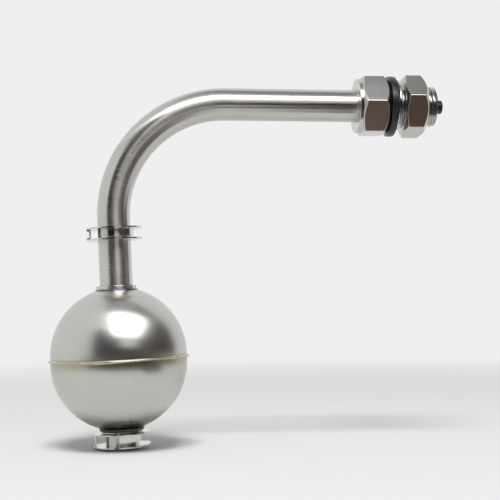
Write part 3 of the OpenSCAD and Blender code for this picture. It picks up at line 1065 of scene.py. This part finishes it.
turned("upper_bowl", "float_upper_shell", LEG, shell(bowl(BALL_R, GUIDE_R + 0.001 * MM)))
lower = bowl(BALL_R, NECK_R + ROOT_SOFT)
neck = [(GUIDE_R, NECK_FOOT), (NECK_R - NECK_LIP, NECK_FOOT), (NECK_R, NECK_FOOT - NECK_LIP)]
root = [(NECK_R + ROOT_SOFT * (1 - sin(a)), lower[0][1] + 0.1 * MM + ROOT_SOFT * (1 - cos(a)))
        for a in (pi / 2, pi / 3, pi / 5, pi / 10)]
turned("lower_bowl", "float_lower_shell", UPSIDE_DOWN, shell(neck + root + lower[1:]))
turned("guide", "float_guide_tube", LEG,
       eased([(GUIDE_IN, -GUIDE_HALF), (GUIDE_R, -GUIDE_HALF), (GUIDE_R, GUIDE_HALF),
              (GUIDE_IN, GUIDE_HALF)], 0.2 * MM, 4))

# %% [markdown]
# ## The seam and the neck welds
# The seam was welded by hand in one pass round the waist. It is a low ridge that wanders
# up and down, flares where the torch paused and thins out between. The outline is a
# rounded ridge whose width, height and middle are noise of the angle, with the ripples
# on top. The two neck beads are narrow and regular.

# %% Seam and neck welds
SEAM_HALF = 0.62 * MM
SEAM_PROUD = SEAM_R - BALL_R
SEAM_ROOT = BALL_R - 0.2 * MM
BEAD_STEPS = 10
WELD_SHARP = radians(60)


def drift(angle, count, seed):
    """Slow noise round a ring, from about -1 to 1, with this many swings in a turn."""
    ring = count / tau
    return 1.6 * noise.noise(Vector((ring * cos(angle), ring * sin(angle), seed)))


def seam_outline(angle):
    wave = ripple(angle, 150, 21)
    middle = 0.22 * MM * drift(angle, 7, 31)
    half = SEAM_HALF * (1 + 0.35 * drift(angle, 11, 37))
    proud = min(SEAM_PROUD, SEAM_PROUD * (0.80 + 0.12 * drift(angle, 9, 41) + 0.06 * wave))
    points = [(SEAM_ROOT, middle - half)]
    for i in range(BEAD_STEPS + 1):
        a = pi * i / BEAD_STEPS
        points.append((BALL_R + proud * sin(a) ** 1.4, middle - half * cos(a)))
    return points + [(SEAM_ROOT, middle + half)]


turned("seam", "float_seam_weld", LEG, seam_outline, full_turn(720), WELD_SHARP)


def neck_bead(node, seat):
    """The bead between the guide tube and the rim of an opening."""
    low, high = sorted(abs(height) for height in along(UP, node, BALL))
    width = reach(UP, node, BALL)[1] - GUIDE_R
    bead_root = GUIDE_R - 0.1 * MM

    def outline(angle):
        size = 0.84 + 0.16 * ripple(angle, 90, low / MM)
        points = [(bead_root, low - 0.12 * MM)]
        for i in range(BEAD_STEPS + 1):
            a = pi / 2 * i / BEAD_STEPS
            points.append((GUIDE_R + width * size * cos(a),
                           low - 0.05 * MM + (high - low) * size * sin(a)))
        return points + [(bead_root, low + (high - low) * size - 0.05 * MM)]

    turned(node.replace("collar_weld", "neck_bead"), node, seat, outline, full_turn(288),
           WELD_SHARP)


neck_bead("upper_collar_weld", LEG)
neck_bead("lower_collar_weld", UPSIDE_DOWN)

# %% [markdown]
# ## The stop clips
# Each clip is bent from spring sheet: two round flanges with a slit, joined at the left
# by a strap, and a collar between them that grips the stem. Thick blocks would look
# heavy, so only the sheet's middle surface is laid out, and the Solidify modifier gives
# it its thickness everywhere, round the bends too. The strap of the upper clip stands in
# from the rim behind a fold, and that of the lower one is at the rim. At the right the
# flanges' ends are set up a little, as the photograph shows.

# %% Bent sheet
SHEET = 0.5 * MM
INSET = 0.6 * SHEET                     # from a clip's face to the sheet's middle
CLIP_BORE_R, CLIP_R = reach(UP, "upper_stop_clip", BALL)
STRAP_HALF = 2.75 * MM
STRAP_ROOT = -CLIP_R + 2.0 * MM
STRAP_BEND = 0.4 * MM
FOLD = 0.62 * MM
SET_FROM = 6.0 * MM                     # where a flange's end starts to be set up
SET_UP = 0.55 * MM


def lifted(x):
    """How far a flange's right end is set up."""
    share = min(1, max(0, (x - SET_FROM) / (CLIP_R - SET_FROM)))
    return SET_UP * share ** 2


def strap_run(strap_in, half):
    """The strap's middle line from the upper flange round to the lower, as (x, height)."""
    strap_x = -CLIP_R + strap_in
    if strap_in > 2 * FOLD:
        rim = -CLIP_R + 0.55 * SHEET
        upper = [(STRAP_ROOT, half), (rim, half), (rim, half - FOLD), (strap_x, half - FOLD)]
    else:
        upper = [(STRAP_ROOT, half), (strap_x, half)]
    lower = [(x, -z) for x, z in reversed(upper)]
    return eased([upper[0]] + upper + lower + [lower[-1]], STRAP_BEND, 4)


def sheet_piece(name, node, sheets):
    """One piece from some sheets of points, thickened and softly edged."""
    bm = bmesh.new()
    for columns in sheets:
        skin(bm, columns, closed=False)
    piece = make_piece(name, bm, node)
    applied(piece, "SOLIDIFY", thickness=SHEET, offset=0, use_even_offset=True)
    applied(piece, "BEVEL", width=0.12 * MM, segments=3, limit_method="ANGLE",
            angle_limit=radians(40))
    return piece


print("sheet of", SHEET / MM, "mm, flanges", round(2 * CLIP_R / MM, 1), "mm across")

# %% [markdown]
# ## The collar and the whole clip
# The collar is too thick for the sheet's modifier, so it is a solid ring that stops
# short of a full turn, and its open ends are filled. It joins the sheet's mesh last,
# because the modifiers would thicken it too.

# %% Stop clips
COLLAR_R = 7.4 * MM
COLLAR_HEIGHT = 3.0 * MM
COLLAR_TURN = radians(250)
COLLAR_STEPS = 80
CLIP_STEPS = 144
STRAP_STEPS = 6                         # on either side of the strap's middle
SLIT_HALF = asin(0.35 * MM / CLIP_BORE_R)
FRONT_OF_LEG = radians(-90)
FLANGE_BORE_R = CLIP_BORE_R + 0.02 * MM
FLANGE_RADII = [FLANGE_BORE_R + (CLIP_R - FLANGE_BORE_R) * share
                for share in (0, 0.08, 0.3, 0.55, 0.8, 0.95, 1)]


def collar(seat, start, top):
    """A thick ring round the stem, open at the left, where the strap is."""
    bm = bmesh.new()
    corners = eased([(CLIP_BORE_R, top - COLLAR_HEIGHT), (COLLAR_R, top - COLLAR_HEIGHT),
                     (COLLAR_R, top), (CLIP_BORE_R, top)], 0.12 * MM, 2)
    skin(bm, [[polar(seat, start + COLLAR_TURN * i / COLLAR_STEPS, *point)
               for point in corners + corners[:1]] for i in range(COLLAR_STEPS + 1)], closed=False)
    bmesh.ops.remove_doubles(bm, verts=bm.verts, dist=MERGE)
    bmesh.ops.holes_fill(bm, edges=[e for e in bm.edges if e.is_boundary], sides=0)
    bmesh.ops.recalc_face_normals(bm, faces=bm.faces)
    return bm


def clip(name, node, slit_left, strap_in):
    """A clip with its slit this far left of the front, and its strap this far in."""
    low, high = along(UP, node, BALL)
    seat = LEG @ Matrix.Translation((0, 0, low))
    height = high - low
    start = FRONT_OF_LEG - slit_left + SLIT_HALF
    angles = [start + (tau - 2 * SLIT_HALF) * i / CLIP_STEPS for i in range(CLIP_STEPS + 1)]

    def flange(z, set_share):
        def point(angle, radius):
            x, y = radius * cos(angle), radius * sin(angle)
            return seat @ Vector((x, y, z + lifted(x) * set_share))
        return [[point(angle, radius) for radius in FLANGE_RADII] for angle in angles]

    run = strap_run(strap_in, height / 2 - INSET)
    widths = [STRAP_HALF * (i / STRAP_STEPS - 1) for i in range(2 * STRAP_STEPS + 1)]
    strap = [[seat @ Vector((x + CLIP_R - sqrt(CLIP_R ** 2 - y ** 2), y, z + height / 2))
              for x, z in run] for y in widths]
    piece = sheet_piece(name, node, [flange(INSET, 1), flange(height - INSET, 0.6), strap])
    bm = collar(seat, start, height - 0.9 * SHEET)
    bm.from_mesh(piece.data)
    bm.to_mesh(piece.data)
    bm.free()
    piece.data.shade_smooth()
    piece.data.set_sharp_from_angle(angle=SHARP)
    print(name, "with its collar has", len(piece.data.polygons), "faces")


clip("upper_clip", "upper_stop_clip", radians(20), 1.3 * MM)
clip("lower_clip", "lower_stop_clip", radians(10), 0.5 * MM)

# %% [markdown]
# ## The floor and the room
# The object stands on plain pale paper. No wall is needed behind it: the world is a pale
# grey, and the floor fades into the same grey with the distance, so no horizon shows.
# What the world shows is lighter than what it gives. The Light Path node tells the two
# apart: rays from the camera, a mirror or a glass see the backdrop, and rays that gather
# light get less, so that the lamp still throws a shadow.

# %% Floor and world
FLOOR_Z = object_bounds()[0][2] - 0.2 * MM
FLOOR_R = 6.0
FLOOR_TONE = (0.80, 0.80, 0.79, 1)
WORLD_SHOWN = 0.86
WORLD_GIVEN = 0.42
FADE = (0.22, 0.75)                     # where the floor starts and ends to fade, in metres

bm = bmesh.new()
bmesh.ops.create_circle(bm, cap_ends=True, segments=96, radius=FLOOR_R)
bm.transform(Matrix.Translation((0, 0, FLOOR_Z)))
floor = add("floor", mesh_of("floor", bm))


def shown(finish):
    """1 for the camera's, a mirror's and a glass's rays, and 0 for light itself."""
    seen = finish.node("ShaderNodeLightPath", output="Is Camera Ray")
    for ray in ("Is Glossy Ray", "Is Transmission Ray"):
        seen = seen.over(finish.node("ShaderNodeLightPath", output=ray))
    return seen


paper = Finish(bpy.data.materials.new("paper"), "Principled BSDF")
paper.set(base_color=FLOOR_TONE, roughness=0.9, specular_ior_level=0.0)
away = paper.node("ShaderNodeVectorMath", {"operation": "LENGTH"}, {0: paper.place()},
                  output="Value")
glow = paper.node("ShaderNodeEmission", inputs={"Color": grey(WORLD_SHOWN), "Strength": 1.0})
both = paper.node("ShaderNodeMixShader", inputs={
    0: away.step(*FADE) * shown(paper), 1: Value(paper, paper.shader.outputs[0]), 2: glow})
paper.put(paper.tree.nodes["Material Output"].inputs["Surface"], both)
floor.data.materials.append(paper.owner)
floor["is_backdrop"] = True

room = bpy.data.worlds.new("room")
bpy.context.scene.world = room
sky = Finish(room, "Background")
sky.set(color=grey(1.0), strength=WORLD_GIVEN + (WORLD_SHOWN - WORLD_GIVEN) * shown(sky))
print("floor at", round(FLOOR_Z / MM, 2), "mm")

# %% [markdown]
# ## Light, and what the steel mirrors
# Polished steel has hardly any look of its own: it shows the room, and a mirror in an
# even pale room has no shape. So the two jobs of light are split. One lamp gives the
# light and the soft shadow, and is hidden from mirrors. The cards are what mirrors see:
# a bright one for the face of a soft box above the camera, a small white board in front
# of the ball, and dark, brown and grey ones round about. A card is a part of a sphere
# round the object or a flat board, and where it stands picks out which part of the steel
# shows it.

# %% Lamp and card makers
MIDDLE = Vector((-60, 0, -60)) * MM
CARD_COLUMNS = 24
CARD_ROWS = 12


def direction(azimuth, elevation):
    """From the object: azimuth 0 is towards the camera and 90 is to the right."""
    a, e = radians(azimuth), radians(elevation)
    return Vector((cos(e) * sin(a), -cos(e) * cos(a), sin(e)))


def lamp(name, way, distance, size, power):
    """A square lamp for the light and the shadow. Its reflection is a card's task."""
    light = bpy.data.lights.new(name, "AREA")
    light.shape = "RECTANGLE"
    light.size = size
    light.size_y = size
    light.energy = power
    holder = add(name, light)
    holder.matrix_world = (Matrix.Translation(MIDDLE + distance * way)
                           @ way.to_track_quat("Z", "Y").to_matrix().to_4x4())
    holder.visible_glossy = False


def dome(azimuths, elevations, distance):
    """A part of a sphere round the object, given by the directions that it covers."""
    return lambda u, v: MIDDLE + distance * direction(
        azimuths[0] + u * (azimuths[1] - azimuths[0]),
        elevations[0] + v * (elevations[1] - elevations[0]))


def board_between(near, far):
    """A flat board between two edges, each from left to right in millimetres."""
    (a, b), (c, d) = [[Vector(end) * MM for end in edge] for edge in (near, far)]
    return lambda u, v: a.lerp(b, u).lerp(c.lerp(d, u), v)


def on_floor(x_range, y_range, lift):
    """A board flat above the floor, with this lift in millimetres."""
    z = FLOOR_Z / MM + lift
    return board_between(*(((x_range[0], y, z), (x_range[1], y, z)) for y in y_range))


def card(name, level, place):
    """A card that only reflections see, glowing at its own level."""
    bm = bmesh.new()
    skin(bm, [[place(i / CARD_COLUMNS, j / CARD_ROWS) for j in range(CARD_ROWS + 1)]
              for i in range(CARD_COLUMNS + 1)], closed=False)
    piece = add(name, mesh_of(name, bm))
    finish = Finish(bpy.data.materials.new(name), "Principled BSDF")
    finish.set(base_color=(0, 0, 0, 1), emission_color=level, emission_strength=1.0,
               roughness=1.0, specular_ior_level=0.0)
    piece.data.materials.append(finish.owner)
    for sight in ("camera", "diffuse", "shadow", "transmission"):
        setattr(piece, "visible_" + sight, False)
    piece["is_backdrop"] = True


print("cards and the lamp are aimed at", tuple(round(v / MM) for v in MIDDLE), "mm")

# %% [markdown]
# ## Where the lamp and the cards stand
# Each card was found from the photograph: where a band of light or dark lies on the
# ball or the tube, the surface's own slope says which way the mirrored ray went. The
# near edge of the box's face draws the lower edge of the highlight on the arm, the dark
# cards in front make the dark band under it, and the brown and grey ones are what the
# hexagons' facets show.

# %% Lamp and cards
BLACK = grey(0.012)
CARDS = {
    "box_face": (grey(4.6), board_between(((-146, -66, 98), (44, -66, 98)),
                                          ((-230, -800, 450), (470, -800, 450)))),
    "small_board": (grey(1.3), board_between(((-100, -130, -62), (-34, -130, -62)),
                                             ((-100, -130, -43), (-34, -130, -43)))),
    "dark_room": (BLACK, dome((-46, -4), (-8, 40), 1.7)),
    "dark_front": (BLACK, dome((-4, 34), (-8, 28), 1.7)),
    "dark_floor": (BLACK, on_floor((-700, 800), (-185, -1600), 1)),
    "brown_floor": ((0.12, 0.08, 0.065, 1), on_floor((-10, 260), (-65, -360), 2)),
    "brown_room": ((0.10, 0.071, 0.055, 1), dome((34, 64), (-8, 50), 1.7)),
    "dark_side": ((0.06, 0.05, 0.04, 1), dome((64, 110), (-8, 78), 1.7)),
    "grey_hood": ((0.33, 0.345, 0.35, 1), dome((20, 64), (50, 88), 1.6)),
    "grey_roof": (grey(0.36), dome((-4, 314), (72, 90), 1.65)),
}
lamp("soft_box", direction(-7, 62), 1.4, 0.5, 15)
for name, (level, place) in CARDS.items():
    card(name, level, place)
print("one lamp, and", len(CARDS), "cards:", ", ".join(CARDS))

# %% [markdown]
# ## The two boxes
# The box of the frame and the box of the looks are printed side by side.

# %% Measure and finish
VISUAL_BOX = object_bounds()
boxes = {name: [list(corner) for corner in box]
         for name, box in (("cad", CAD_BOX), ("visual", VISUAL_BOX))}
for name, box in boxes.items():
    print(name, [[round(v / MM, 2) for v in corner] for corner in box])
